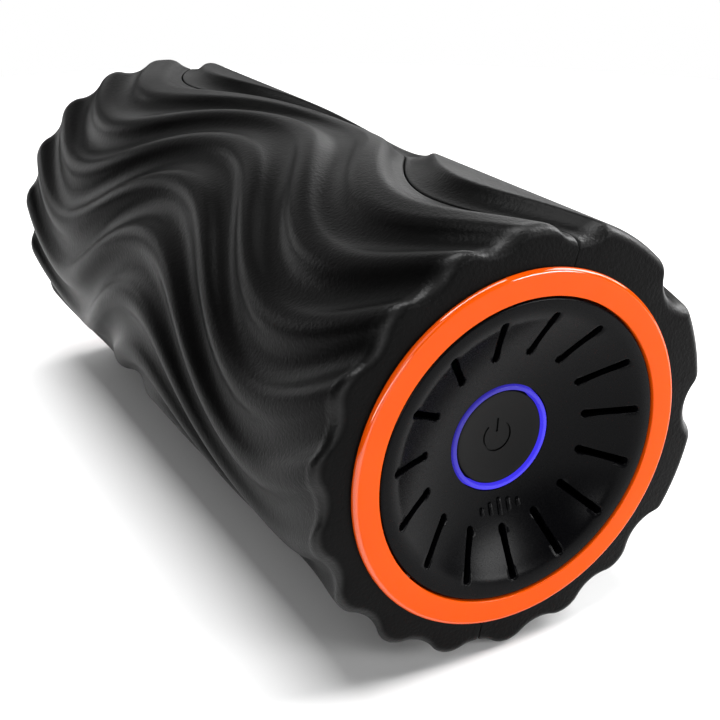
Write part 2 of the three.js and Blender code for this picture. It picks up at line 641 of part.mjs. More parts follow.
function addBattery() {
  const back = CELL_FRONT + CELL_LENGTH;
  const profile = [
    [0, CELL_FRONT], [CELL_RADIUS, CELL_FRONT], [CELL_RADIUS, back - 1.6], [CELL_RADIUS - 1, back - 1],
    [2.9, back - 1], [2.9, back], [0, back],
  ];
  const cell = turned(profile, 16);
  [-1, 0, 1].forEach((k) => {
    const at = [k * CELL_SPACING, 0, CELL_Z];
    place(roller, `battery_cell_${k + 2}`, cell, CELL_WRAP, { at });
  });
  const base = CELL_Z + CELL_RADIUS + GAP;
  const pieces = [block([-31, 31], [52, 121], [base, base + 2])];
  for (const [x, y] of BOARD_SCREWS) pieces.push(post(3, base + 1, BOARD_Z - SEAT, x, y, 8));
  const holes = BOARD_SCREWS.map(([x, y]) => post(1.2, base + 2.4, BOARD_Z + 1, x, y, 8));
  place(roller, "battery_cover", cut(join(...pieces), ...holes), CORE_PLASTIC);
}

function addMainBoard() {
  const top = BOARD_Z + BOARD_THICKNESS;
  const pieces = [
    block([-26, 26], [58, 112], [BOARD_Z, top]),
    block([-6, 6], [80, 92], [top - 0.5, top + 2]), // controller
    block([-21, -11], [76, 96], [top - 0.5, top + 9]), // motor driver on its heat sink
    block([6, 18], [58.5, 64.5], [top - 0.5, top + 6]), // motor connector
    block([-18, -6], [58.5, 64.5], [top - 0.5, top + 6]), // light board connector
    block([4, 16], [105, 111], [top - 0.5, top + 6]), // battery connector
    block([-12, -2], [105, 111], [top - 0.5, top + 6]), // charging connector
    post(5, top - 0.5, top + 12, 17, 84, 12), // smoothing capacitor
  ];
  const holes = BOARD_SCREWS.map(([x, y]) => post(1.4, BOARD_Z - 1, top + 2, x, y, 8));
  place(roller, "main_board", cut(join(...pieces), ...holes), CIRCUIT_BOARD);
  const head = 1.5;
  const screw = screwSolid({ headRadius: 2.2, head, shankRadius: 0.85, length: 5 });
  BOARD_SCREWS.forEach(([x, y], k) => {
    const at = [x, y, top + SEAT + head];
    place(roller, `board_screw_${k + 1}`, screw, STEEL, { at, turn: [-Math.PI / 2, 0, 0] });
  });
}

function addWires() {
  const plugTop = BOARD_Z + BOARD_THICKNESS + 6 + GAP;
  const hole = (angle, y) => {
    const [x, z] = onCircle(WIRE_CIRCLE, angle);
    return [x, y, z];
  };
  const clear = MOTOR_REAR + 12.4; // between the rear motor bulkhead and the rear weight
  const motorLead = (x, angle, plugX) => [
    [x, MOTOR_REAR + 11.2, 9.6], [x * 1.15, clear, 18], ...[clear + 4, 44, 54].map((y) => hole(angle, y)),
    [plugX, 62, plugTop + 8], [plugX, 62, plugTop],
  ];
  place(roller, "motor_lead_red", wireSolid(motorLead(11, 60, 14), 20), RED_WIRE);
  place(roller, "motor_lead_black", wireSolid(motorLead(-11, 90, 10), 20), BLACK_WIRE);

  const plugY = -END_Y + LED_BOARD_DEPTH + 3;
  const ledCable = [
    [-2, plugY, -10 + GAP], [-4, plugY + 0.4, 4], [-15, plugY + 1, 26], [-21.5, plugY + 2.5, 37.4],
    ...[-126, -100, -40, 20, 45, 54].map((y) => hole(120, y)), [-12, 62, plugTop + 7], [-12, 62, plugTop],
  ];
  place(roller, "led_cable", wireSolid(ledCable, 30), BLACK_WIRE);

  const cellBack = CELL_FRONT + CELL_LENGTH;
  const batteryLead = [
    [10, cellBack + 1.4, -6], [10, cellBack + 3.3, 2], [10, cellBack + 2.6, 16],
    [10, 112, plugTop + 9], [10, 108, plugTop + 5], [10, 108, plugTop],
  ];
  place(roller, "battery_lead", wireSolid(batteryLead, 16), RED_WIRE);

  const socketBack = END_Y - SOCKET_SEAT - SOCKET_LENGTH - GAP;
  const chargeLead = [
    [0, socketBack, 0], [0, socketBack - 1.6, 0.6], [0, socketBack - 2.3, 6], [0, socketBack - 2.3, 24],
    [0, socketBack - 3, 29.4], [0, 126, CHARGE_HOLE_Z], [-1, 121, CHARGE_HOLE_Z],
    [-7, 108, plugTop + 5], [-7, 108, plugTop],
  ];
  place(roller, "charge_lead", wireSolid(chargeLead, 22), BLACK_WIRE);
}

addFoam();
addTube();
addRingAndScrews(front, "front");
addRingAndScrews(rear, "rear");
addFrontCap();
addLightRing();
addButton();
addLightBoard();
addRearCapAndSocket();
addChassis();
addMotor();
addRotor();
addBattery();
addMainBoard();
addWires();

export default roller;
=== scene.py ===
"""A vibrating foam roller: foam sleeve, trim rings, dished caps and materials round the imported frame.

Metres. The roller's axis is Y and the power button faces -Y. A point of an end part is given as
(radius, angle, depth). The angle is in degrees from +X towards +Z, seen from outside. The depth runs
inwards from the trim ring's face.
"""

import math

import bmesh
import bpy
import numpy as np
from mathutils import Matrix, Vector


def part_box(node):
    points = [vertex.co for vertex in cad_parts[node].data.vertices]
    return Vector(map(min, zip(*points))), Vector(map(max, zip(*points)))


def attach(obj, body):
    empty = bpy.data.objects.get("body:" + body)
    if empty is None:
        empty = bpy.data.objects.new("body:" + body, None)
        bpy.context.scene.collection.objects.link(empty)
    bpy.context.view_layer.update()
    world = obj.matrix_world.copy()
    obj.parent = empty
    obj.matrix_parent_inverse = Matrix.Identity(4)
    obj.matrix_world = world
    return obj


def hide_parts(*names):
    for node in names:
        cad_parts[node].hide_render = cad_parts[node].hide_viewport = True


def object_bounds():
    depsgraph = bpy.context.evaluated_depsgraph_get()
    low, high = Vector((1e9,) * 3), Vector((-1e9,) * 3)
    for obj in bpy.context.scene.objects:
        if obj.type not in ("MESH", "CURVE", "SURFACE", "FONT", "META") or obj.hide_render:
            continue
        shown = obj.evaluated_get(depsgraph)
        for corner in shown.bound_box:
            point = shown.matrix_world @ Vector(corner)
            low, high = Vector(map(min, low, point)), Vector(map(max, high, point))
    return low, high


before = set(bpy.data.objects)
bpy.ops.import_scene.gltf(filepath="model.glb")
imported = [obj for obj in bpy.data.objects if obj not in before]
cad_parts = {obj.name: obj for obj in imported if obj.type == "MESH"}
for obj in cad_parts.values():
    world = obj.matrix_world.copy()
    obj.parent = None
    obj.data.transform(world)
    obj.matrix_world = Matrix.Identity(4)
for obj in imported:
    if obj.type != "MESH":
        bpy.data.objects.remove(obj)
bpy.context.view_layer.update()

FRONT = -1  # an end is named by the sign of its Y
REAR = 1
UPRIGHT = Vector((0, 1))  # +Z, as seen from outside an end

# ---- Driving dimensions --------------------------------------------------------------------------

END_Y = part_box("rear_ring")[1].y
RING_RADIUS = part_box("front_ring")[1].x
FOAM_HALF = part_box("foam_shell_right")[1].y
RING_PROUD = END_Y - FOAM_HALF

RIGHT_RIDGES = [40, 37, 39, 20, 20, 20]  # widths in degrees, clockwise from the upper seam
LEFT_RIDGES = [20] * 8 + [24]  # clockwise from the lower seam
WIDE_FROM = 30  # degrees: a ridge at least this wide has a broad flat crest
SEAM_ANGLE = 74.7  # degrees from +X towards +Z, at the middle of the wave
VALLEY_RADIUS = 0.0713
NARROW_HEIGHT = 0.0037
WIDE_HEIGHT = 0.0056
NARROW_CURVE = 0.0108  # radius of a narrow ridge's crest
WIDE_CURVE = 0.0035  # radius of a wide ridge's corners
FLANK_WIDTH = 0.0127  # from the valley to the crest, along the surface
WAVE_SWING = 18  # degrees that the valleys swing to each side
WAVE_LENGTH = FOAM_HALF * 4 / 3
WAVE_OFFSET = -0.0008
SEAM_GAP = 0.0004
SEAM_ROUND = 0.0008
END_ROUND = 0.004
BORE_RADIUS = 0.0614
FOAM_COLUMNS_PER_DEGREE = 2
FOAM_ROW_SPACING = 0.0024
BORE_STEP = 6  # the bore has a vertex for every sixth row and column of the outside

RING_INNER = 0.0532
RING_UNDER = RING_PROUD - 0.0003  # depth of the ring's underside, just above the foam
RING_FACE_ROUND = 0.0015
RING_POLISH_WIDTH = 0.0014  # the outer edge is polished over this width
CLIP_INNER = 0.0546
CLIP_OUTER = 0.0566
CLIP_HOOK_INNER = 0.0534
CLIP_HOOK = 0.0016  # how far a clip reaches past the flange's back
CLIP_SWEEP = 14  # degrees, with one segment for each
CLIP_ANGLES = (0, 90, 180, 270)

LIP_RADIUS = 0.0528
DISH_SPHERE = 0.082  # radius of the dish's surface
DISH_DEPTH = 0.0156  # depth that the dish would have on the axis
DISH_RADIUS = 0.0476
DISH_WALL = 0.0022
LIP_EASE = 0.0028  # the dish eases into the flat lip over this distance to each side of its edge
LIP_ROUND = 0.0011
FLANGE_DEPTH = 0.0096
FLANGE_BACK = 0.012
FLANGE_RADIUS = 0.057
WALL_INNER = 0.0502  # inside of the wall between the lip and the flange
WALL_TOP = 0.0042
NOTCH_INNER = 0.0531
NOTCH_SWEEP = 16  # degrees, with one segment for each
SLOT_COUNT = 15
SLOT_FIRST_ANGLE = 101.5
SLOT_INNER = 0.0306
SLOT_OUTER = 0.0475
SLOT_WIDTH = 0.0025
SLOT_EDGE = 0.0006  # radius of the rounded edge
SLOT_EDGE_STEPS = 4
CAP_SCREW_CIRCLE = 0.0548
CAP_SCREW_ANGLES = (45, 135, 225, 315)
CAP_SCREW_HOLE = 0.00135
BOSS_CIRCLE = 0.025  # the posts behind the dish that carry the light board
BOSS_ANGLES = (41.5, 161.5, 281.5)
BOSS_RADIUS = 0.0026
BOSS_TOP = 0.0129
PILOT_RADIUS = 0.0011
PILOT_DEPTHS = (0.0165, 0.026)
CUT_MARGIN = 0.001  # how far a cutter passes the surfaces it cuts

LIGHT_RADIUS = 0.0187
LIGHT_INNER = 0.0171
LIGHT_DEPTH = 0.0129
LIGHT_FLANGE_RADIUS = 0.0215
LIGHT_FLANGE_DEPTH = 0.016
LIGHT_FLANGE = 0.0014  # thickness
LIGHT_GAP = 0.0004  # between the lens and the hole in the cap
BUTTON_RADIUS = 0.0166
BUTTON_DEPTH = 0.0136
BUTTON_HOLLOW = 0.0018  # how deep the finger dish in the button's face is
BUTTON_RIM = 0.016  # radius of the finger dish
BUTTON_BACK = BUTTON_DEPTH + 0.0026
BUTTON_SKIRT = BUTTON_BACK + 0.0024
BUTTON_FLANGE_RADIUS = 0.0176
BUTTON_FLANGE_DEPTH = BUTTON_DEPTH + 0.0042
BUTTON_SKIRT_INNER = 0.0146
BUTTON_STEM_RADIUS = 0.003

SOCKET_SEAT = 0.0154
SOCKET_SEAT_RADIUS = 0.009
SOCKET_HOLE = 0.0059
SOCKET_RIM_RADIUS = 0.0072
SOCKET_RIM = 0.0015  # how far the socket's rim stands above its seat
SOCKET_BARREL = 0.0056  # radius behind the seat
SOCKET_BORE = 0.0032  # radius
SOCKET_BORE_DEPTH = SOCKET_SEAT + 0.008
PIN_RADIUS = 0.001

ICON_RADIUS = 0.0052
ICON_STROKE = 0.0009
ICON_DEPTH = 0.0005
ICON_TAPER = 0.6  # a stroke's width at the bottom of its groove, over its width at the top
ICON_GAP = 40  # degrees of the circle left open on each side of the bar
MARK_RADIUS = 0.0248
MARK_BARS = (0.003, 0.0046, 0.0062, 0.0046, 0.003)
MARK_PITCH = 0.0036
MARK_STROKE = 0.0015
MARK_RISE = 0.0006

ROUND_SEGMENTS = 180
TINY = 0.0001  # radius of the hole that stands in for a point on the axis
SHARP_ANGLE = 35  # degrees: an edge sharper than this isn't smoothed
FOAM_SHARP_ANGLE = 50

LENS_SPILL = 0.06  # how much of the lens's glow falls on its neighbours
FLOOR_RADIUS = 0.95
LAMP_DISTANCE = 1.6
WORLD_FILL = 0.01
LAMPS = (  # name, azimuth and elevation in degrees, width and height, power in watts
    ("box_top", 0, 90, (1.1, 1.1), 40),
    ("box_right", -10, 34, (0.9, 0.7), 26),
    ("box_right_low", -5, 16, (0.5, 0.35), 6.6),
    ("box_front_left", -120, 40, (0.9, 0.7), 2.5),
    ("strip_front_left", -120, 10, (1.4, 0.1), 8.5),
    ("box_front_low", -54, 12, (0.5, 0.34), 11),
    ("box_behind_left", 112, 8, (0.7, 0.45), 3.2),
    ("box_behind_left_high", 110, 33, (0.6, 0.4), 1.0),
    ("box_behind", 75, 22, (0.9, 0.8), 2.6),
    ("box_behind_right", 40, 22, (0.9, 0.9), 7.5),
)
CAMERA_PLACE = (-0.2073, -0.4240, 0.1822)
CAMERA_AIM = (0.44471, 0.79637, -0.40992)
CAMERA_SENSOR = 36  # millimetres, like the lens
CAMERA_LENS = 59.4


# ---- Mesh helpers --------------------------------------------------------------------------------

def end_point(end, radius, angle, depth):
    """A point of an end part. The rear end is the front end turned half round the Z axis."""
    turn = math.radians(angle)
    x = -end * radius * math.cos(turn)
    return Vector((x, end * (END_Y - depth), radius * math.sin(turn)))


def dish_depth(radius):
    return DISH_DEPTH - (DISH_SPHERE - math.sqrt(DISH_SPHERE**2 - radius**2))


def cap_depth(radius):
    """Depth of a cap's face, where the spherical dish eases into the flat lip."""
    start = DISH_RADIUS - LIP_EASE
    slope = start / math.sqrt(DISH_SPHERE**2 - start**2)
    past = min(max(radius - start, 0), 2 * LIP_EASE)
    return dish_depth(min(radius, start)) - slope * past * (1 - past / (4 * LIP_EASE))


def button_depth(radius):
    return BUTTON_DEPTH + BUTTON_HOLLOW * (1 - (radius / BUTTON_RIM) ** 2)


def piece_from(name, vertices, faces, material, sharp=SHARP_ANGLE):
    """A smooth-shaded piece from vertices and faces, with its faces turned outwards."""
    mesh = bpy.data.meshes.new(name)
    mesh.from_pydata([tuple(v) for v in vertices], [], faces)
    piece = bpy.data.objects.new(name, mesh)
    bpy.context.scene.collection.objects.link(piece)
    finish_mesh(piece, material, sharp)
    return piece


def finish_mesh(piece, material, sharp=SHARP_ANGLE):
    """Turns a piece's faces outwards, smooths them and gives the piece its material."""
    mesh = piece.data
    tidy = bmesh.new()
    tidy.from_mesh(mesh)
    bmesh.ops.recalc_face_normals(tidy, faces=tidy.faces)
    for face in tidy.faces:
        face.smooth = True
    tidy.to_mesh(mesh)
    tidy.free()
    mesh.set_sharp_from_angle(angle=math.radians(sharp))
    mesh.materials.clear()
    mesh.materials.append(material)


def rounded(corners, steps=6):
    """A closed outline from (radius, depth, rounding) corners, with an arc in place of each corner."""
    outline = []
    for k, (r, d, rounding) in enumerate(corners):
        here = Vector((r, d))
        if rounding == 0:
            outline.append(here)
            continue
        before = (Vector(corners[k - 1][:2]) - here).normalized()
        after = (Vector(corners[(k + 1) % len(corners)][:2]) - here).normalized()
        half = before.angle(after) / 2
        centre = here + (before + after).normalized() * (rounding / math.sin(half))
        start = here + before * (rounding / math.tan(half)) - centre
        stop = here + after * (rounding / math.tan(half)) - centre
        sweep = start.angle_signed(stop)
        for i in range(steps + 1):
            turn = -sweep * i / steps
            c, s = math.cos(turn), math.sin(turn)
            outline.append(centre + Vector((c * start.x - s * start.y, s * start.x + c * start.y)))
    return outline


def turned(name, end, outline, material, segments=ROUND_SEGMENTS, first=0.0, sweep=360.0):
    """An outline of (radius, depth) points turned about the roller's axis, all the way or in part."""
    whole = sweep == 360
    columns = segments if whole else segments + 1
    vertices = []
    for j in range(columns):
        angle = first + sweep * j / segments
        vertices += [end_point(end, r, angle, d) for r, d in outline]
    count = len(outline)
    faces = []
    for j in range(segments):
        a, b = j * count, ((j + 1) % columns) * count
        for i in range(count):
            k = (i + 1) % count
            faces.append((a + i, a + k, b + k, b + i))
    if not whole:
        faces.append(tuple(range(count)))
        faces.append(tuple(segments * count + i for i in reversed(range(count))))
    return piece_from(name, vertices, faces, material)


def loft(name, loops, material):
    """A closed solid through equal loops of points. Each end loop is closed by a strip across it."""
    count = len(loops[0])
    vertices = [v for loop in loops for v in loop]
    faces = []
    for j in range(len(loops) - 1):
        for i in range(count):
            k = (i + 1) % count
            faces.append((j * count + i, j * count + k, (j + 1) * count + k, (j + 1) * count + i))
    last = (len(loops) - 1) * count
    for i in range(count // 2 - 1):
        strip = (i, i + 1, count - 2 - i, count - 1 - i)
        faces.append(strip)
        faces.append(tuple(last + v for v in reversed(strip)))
    return piece_from(name, vertices, faces, material)


def stadium(centre, along, length, half_width, steps=8):
    """Points round a slot in the X-Z plane. Its length is between its two end circles' centres."""
    across = Vector((-along.y, along.x))
    points = []
    for side in (1, -1):
        middle = centre + along * (side * length / 2)
        for i in range(steps + 1):
            turn = math.pi * (i / steps - 0.5)
            outwards = along * math.cos(turn) + across * math.sin(turn)
            points.append(middle + outwards * (side * half_width))
    return points[-1:] + points[:-1]


def applied(piece, tools, operation):
    """Joins or cuts a piece with other meshes, which are then deleted."""
    for tool in tools:
        modifier = piece.modifiers.new("boolean", "BOOLEAN")
        modifier.operation = operation
        modifier.solver = "EXACT"
        modifier.object = tool
    graph = bpy.context.evaluated_depsgraph_get()
    made = bpy.data.meshes.new_from_object(piece.evaluated_get(graph))
    material = piece.data.materials[0]
    piece.modifiers.clear()
    piece.data = made
    for tool in tools:
        bpy.data.objects.remove(tool)
    finish_mesh(piece, material)


def merged(name, parts):
    """Several meshes that don't touch each other, as one object."""
    target = parts[0]
    target.name = name
    with bpy.context.temp_override(active_object=target, selected_editable_objects=parts):
        bpy.ops.object.join()
    return target


def fit(piece, body, slot, *nodes):
    """Puts a piece on its body and hides the CAD nodes it stands for. Its slot is not used."""
    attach(piece, body)
    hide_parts(*nodes)


# ---- Node materials ------------------------------------------------------------------------------

def node(tree, kind, inputs=None, **settings):
    """A shader node. Each of its inputs takes either a value or another node's output."""
    made = tree.nodes.new("ShaderNode" + kind)
    for key, value in settings.items():
        setattr(made, key, value)
    for key, value in (inputs or {}).items():
        if isinstance(value, bpy.types.NodeSocket):
            tree.links.new(value, made.inputs[key])
        else:
            made.inputs[key].default_value = value
    return made


def grey(value):
    return (value, value, value, 1)


def scaled(colour, factor):
    return tuple(min(1, c * factor) for c in colour) + (1,)


def start_material(name):
    """A new material without nodes, its node tree, and the place of a point on the object."""
    material = bpy.data.materials.new(name)
    material.use_nodes = True
    tree = material.node_tree
    tree.nodes.clear()
    place = node(tree, "TexCoord").outputs["Object"]
    return material, tree, place


def end_material(tree, **inputs):
    """The surface shader. An underscore stands for a space in an input's name."""
    named = {key.replace("_", " "): value for key, value in inputs.items()}
    shader = node(tree, "BsdfPrincipled", named)
    node(tree, "OutputMaterial", {"Surface": shader.outputs["BSDF"]})


def noise(tree, place, size, detail=2.0, roughness=0.5):
    """Noise with features of about the given size in metres."""
    inputs = {"Vector": place, "Scale": 1 / size, "Detail": detail, "Roughness": roughness}
    return node(tree, "TexNoise", inputs).outputs["Fac"]


def ramp(tree, value, low, high, out_low, out_high):
    """A value carried from one range to another, and held at the second range's ends."""
    inputs = {"Value": value, "From Min": low, "From Max": high, "To Min": out_low, "To Max": out_high}
    return node(tree, "MapRange", inputs, clamp=True).outputs["Result"]


def from_noise(tree, value, out_low, out_high):
    """Noise stays near its middle, so only its middle range is used."""
    return ramp(tree, value, 0.3, 0.7, out_low, out_high)


def maths(tree, operation, *values):
    return node(tree, "Math", dict(enumerate(values)), operation=operation).outputs[0]


def mix_colour(tree, share, first, second):
    share_input, first_input, second_input, colour_output = 0, 6, 7, 2
    inputs = {share_input: share, first_input: first, second_input: second}
    return node(tree, "Mix", inputs, data_type="RGBA").outputs[colour_output]


def bump(tree, height, distance, strength=1.0, normal=None):
    inputs = {"Height": height, "Distance": distance, "Strength": strength}
    if normal is not None:
        inputs["Normal"] = normal
    return node(tree, "Bump", inputs).outputs["Normal"]


def edge_polish(tree, place, start):
    """Clear-coat strength of a turned part that is polished beyond the radius where the edge starts."""
    across = node(tree, "VectorMath", {0: place, 1: (1, 0, 1)}, operation="MULTIPLY").outputs["Vector"]
    reach = node(tree, "VectorMath", {0: across}, operation="LENGTH").outputs["Value"]
    return ramp(tree, reach, start, start + 0.0003, 0.12, 0.7)


def moulded(name, colour, roughness, grain, depth, spread, specular=0.5, polished_from=None):
    """Moulded plastic: a fine grain, and slow changes in colour.

    The grain is the size of its features and the depth that of its bumps. The colour changes by
    the spread to each side. Beyond the radius polished_from, the surface has a hard polish.
    """
    material, tree, place = start_material(name)
    slow = noise(tree, place, 0.02, 3)
    fine = noise(tree, place, grain, 3, 0.6)
    shade = from_noise(tree, slow, 0, 1)
    polish = 0.0
    if polished_from is not None:
        polish = edge_polish(tree, place, polished_from)
    end_material(
        tree,
        Base_Color=mix_colour(tree, shade, scaled(colour, 1 - spread), scaled(colour, 1 + spread)),
        Roughness=from_noise(tree, fine, roughness - 0.04, roughness + 0.04),
        Specular_IOR_Level=specular,
        Coat_Weight=polish,
        Coat_Roughness=0.06,
        Coat_IOR=1.8,
        Normal=bump(tree, fine, depth),
    )
    return material


def foam_material():
    """Dense moulded foam: a satin skin with a fine grain, shinier on the rounded edges of its ends."""
    material, tree, place = start_material("foam")
    face_start = FOAM_HALF - 0.001
    y = node(tree, "SeparateXYZ", {"Vector": place}).outputs["Y"]
    from_middle = maths(tree, "ABSOLUTE", y)
    near_end = ramp(tree, from_middle, FOAM_HALF - END_ROUND - 0.002, face_start, 0, 1)
    on_face = ramp(tree, from_middle, face_start, FOAM_HALF - 0.0001, 0, 1)
    on_edge = maths(tree, "SUBTRACT", near_end, on_face)
    grain = noise(tree, place, 0.0008, 4, 0.6)
    pores = noise(tree, place, 0.0014, 2)
    slow = noise(tree, place, 0.035, 3)
    gloss = from_noise(tree, slow, 0.34, 0.4)
    strength = ramp(tree, near_end, 0, 1, 0.4, 0.55)
    skin = bump(tree, grain, 0.0002, strength)
    end_material(
        tree,
        Base_Color=mix_colour(tree, from_noise(tree, slow, 0, 1), grey(0.001), grey(0.0018)),
        Roughness=maths(tree, "MULTIPLY_ADD", near_end, 0.02, gloss),
        Specular_IOR_Level=ramp(tree, on_edge, 0, 1, 0.043, 0.22),
        Normal=bump(tree, pores, 0.0003, strength, skin),
    )
    return material


def light_material():
    """A translucent lens that glows from behind in soft blotches, with painted light that makes its
    glow brightest at the lower right.
    """
    material, tree, place = start_material("light_plastic")
    # Painted light: the glow is made to grow towards the lower right, the way the scene's light falls
    # on the end.
    painted_light_direction = (0.7, 0.0, -0.7)
    products = node(tree, "VectorMath", {0: place, 1: painted_light_direction}, operation="DOT_PRODUCT")
    glow = noise(tree, place, 0.012, 1)
    fine = noise(tree, place, 0.0008, 2)
    glow_and_painted_light = maths(tree, "MULTIPLY_ADD", glow, 0.016, products.outputs["Value"])
    # Share of the bright blue: the painted light towards the lower right, plus the blotches.
    shade = ramp(tree, glow_and_painted_light, -0.008, 0.02, 0, 1)
    colour = mix_colour(tree, shade, (0.024, 0.018, 0.26, 1), (0.05, 0.036, 0.82, 1))
    seen = node(tree, "LightPath").outputs["Is Camera Ray"]
    end_material(
        tree,
        Base_Color=(0.015, 0.012, 0.1, 1),
        Roughness=from_noise(tree, fine, 0.25, 0.35),
        Specular_IOR_Level=0.15,
        Emission_Color=colour,
        Emission_Strength=ramp(tree, seen, 0, 1, LENS_SPILL, 1.0),
        Normal=bump(tree, fine, 0.00002),
    )
    return material


def metal(name, colour, roughness, streak):
    """Turned or drawn metal with fine streaks and slight tarnish."""
    material, tree, place = start_material(name)
    stretched = node(tree, "Mapping", {"Vector": place, "Scale": streak}).outputs["Vector"]
    lines = noise(tree, stretched, 0.0006, 3, 0.6)
    tarnish = ramp(tree, noise(tree, place, 0.006, 3), 0.35, 0.75, 0, 1)
    end_material(
        tree,
        Base_Color=mix_colour(tree, tarnish, scaled(colour, 1), scaled(colour, 0.72)),
        Metallic=1.0,
        Roughness=from_noise(tree, lines, roughness - 0.08, roughness + 0.1),
        Normal=bump(tree, lines, 0.00002),
    )
    return material


def board_material():
    """A circuit board: solder mask with a faint net of copper tracks under it."""
    material, tree, place = start_material("circuit_board")
    net = node(tree, "TexVoronoi", {"Vector": place, "Scale": 260.0}, feature="DISTANCE_TO_EDGE")
    weave = noise(tree, place, 0.0007, 2)
    on_track = ramp(tree, net.outputs["Distance"], 0.06, 0.1, 1, 0)
    end_material(
        tree,
        Base_Color=mix_colour(tree, on_track, (0.002, 0.012, 0.004, 1), (0.005, 0.026, 0.009, 1)),
        Roughness=from_noise(tree, weave, 0.32, 0.45),
        Specular_IOR_Level=0.15,
        Normal=bump(tree, on_track, 0.00004),
    )
    return material


def cell_material():
    """Shrink wrap over a battery cell, with a darker band round each end."""
    material, tree, place = start_material("cell_wrap")
    y = node(tree, "SeparateXYZ", {"Vector": place}).outputs["Y"]
    low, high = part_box("battery_cell_1")
    middle = (low.y + high.y) / 2
    half = (high.y - low.y) / 2
    from_middle = maths(tree, "ABSOLUTE", maths(tree, "SUBTRACT", y, middle))
    band = ramp(tree, from_middle, half - 0.006, half - 0.005, 0, 1)
    creases = noise(tree, place, 0.003, 3)
    end_material(
        tree,
        Base_Color=mix_colour(tree, band, (0.02, 0.16, 0.3, 1), (0.012, 0.07, 0.14, 1)),
        Roughness=from_noise(tree, creases, 0.25, 0.4),
        Coat_Weight=0.3,
        Normal=bump(tree, creases, 0.0001),
    )
    return material


MATERIALS = {
    "foam": foam_material(),
    "orange_plastic": moulded(
        "orange_plastic", (0.62, 0.066, 0.001), roughness=0.3, grain=0.0006, depth=0.00001, spread=0.03,
        specular=0.0, polished_from=RING_RADIUS - RING_POLISH_WIDTH,
    ),
    "black_plastic": moulded(
        "black_plastic", (0.0009, 0.0009, 0.0012), roughness=0.26, grain=0.0004, depth=0.000006,
        spread=0.1, specular=0.055,
    ),
    "button_plastic": moulded(
        "button_plastic", (0.0016, 0.0016, 0.0016), roughness=0.42, grain=0.0004, depth=0.000012,
        spread=0.1, specular=0.09,
    ),
    "light_plastic": light_material(),
    "core_plastic": moulded(
        "core_plastic", (0.004, 0.004, 0.0045), roughness=0.5, grain=0.0008, depth=0.00004,
        spread=0.12, specular=0.12,
    ),
    "steel": metal("steel", (0.55, 0.56, 0.58), 0.32, (1, 12, 1)),
    "copper": metal("copper", (0.62, 0.25, 0.11), 0.35, (1, 14, 1)),
    "brass": metal("brass", (0.6, 0.42, 0.16), 0.3, (1, 8, 1)),
    "circuit_board": board_material(),
    "cell_wrap": cell_material(),
    "magnet": moulded(
        "magnet", (0.05, 0.05, 0.055), roughness=0.6, grain=0.0006, depth=0.00006, spread=0.2
    ),
    "red_wire": moulded(
        "red_wire", (0.4, 0.018, 0.015), roughness=0.42, grain=0.001, depth=0.00003, spread=0.1
    ),
    "black_wire": moulded(
        "black_wire", (0.012, 0.012, 0.012), roughness=0.42, grain=0.001, depth=0.00003, spread=0.1
    ),
}


def paint_cad_nodes():
    """Every CAD node keeps its shape and takes the finish that its material slot names."""
    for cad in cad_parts.values():
        slot = cad.data.materials[0].name.split(".")[0]
        cad.data.materials[0] = MATERIALS[slot]


# ---- Foam sleeve ---------------------------------------------------------------------------------

def wave_shift(y):
    """Degrees that every valley is shifted by, at a place along the roller."""
    return -WAVE_SWING * np.cos(2 * np.pi * (y - WAVE_OFFSET) / WAVE_LENGTH)


def ridge_height(width):
    return NARROW_HEIGHT if width < WIDE_FROM else WIDE_HEIGHT


def flank_rise(distance, width):
    """Height above the valley: an arc in the valley that meets the crest's arc on one tangent."""
    flank, height = FLANK_WIDTH, ridge_height(width)
    crest = NARROW_CURVE if width < WIDE_FROM else WIDE_CURVE
    both = (flank**2 + height**2) / (2 * height)
    valley = both - crest
    past = np.minimum(distance, flank)
    in_valley = valley - np.sqrt(valley**2 - np.minimum(past, valley) ** 2)
    on_crest = height - crest + np.sqrt(crest**2 - np.minimum(flank - past, crest) ** 2)
    return np.where(past < valley * flank / both, in_valley, on_crest)


def corner_drop(distance, rounding):
    """How far a rounded edge has fallen, at a distance from the edge."""
    short = np.clip(rounding - distance, 0, rounding)
    return rounding - np.sqrt(rounding**2 - short**2)


def foam_columns(widths):
    """Angles in degrees past the seam, and the foam's radius at each."""
    degree = math.radians(1) * VALLEY_RADIUS  # one degree's length along a valley's surface
    total = sum(widths)
    trim = SEAM_GAP / 2 / degree
    lip = SEAM_ROUND / degree
    turns = np.linspace(0, math.pi / 2, 7)
    start = trim + lip * (1 - np.cos(turns))
    clear = start[-1] + 0.2
    middle = np.arange(1, total * FOAM_COLUMNS_PER_DEGREE) / FOAM_COLUMNS_PER_DEGREE
    middle = middle[(middle > clear) & (middle < total - clear)]
    past = np.concatenate([start, middle, (total - start)[::-1]])
    radius = np.full(past.shape, VALLEY_RADIUS)
    valley = 0
    for width in widths:
        inside = (past >= valley) & (past <= valley + width)
        along = math.radians(1) * (VALLEY_RADIUS + ridge_height(width) / 2)
        near = np.minimum(past - valley, valley + width - past) * along
        radius = np.where(inside, VALLEY_RADIUS + flank_rise(np.maximum(near, 0), width), radius)
        valley += width
    from_seam = (np.minimum(past, total - past) - trim) * degree
    return past, radius - corner_drop(from_seam, SEAM_ROUND)


def foam_rows():
    """Places along the roller for the foam's rows of vertices, closer together at the rounded ends."""
    turns = np.linspace(0, math.pi / 2, 9)
    edge = FOAM_HALF - END_ROUND * (1 - np.cos(turns))
    inside = edge[-1]
    count = round(2 * inside / FOAM_ROW_SPACING)
    middle = np.linspace(-inside, inside, count + 1)[1:-1]
    return np.concatenate([-edge, middle, edge[::-1]])


def picked(count):
    """The rows or columns of the outside that the bore has too. The last one is always among them."""
    return sorted({*range(0, count, BORE_STEP), count - 1})


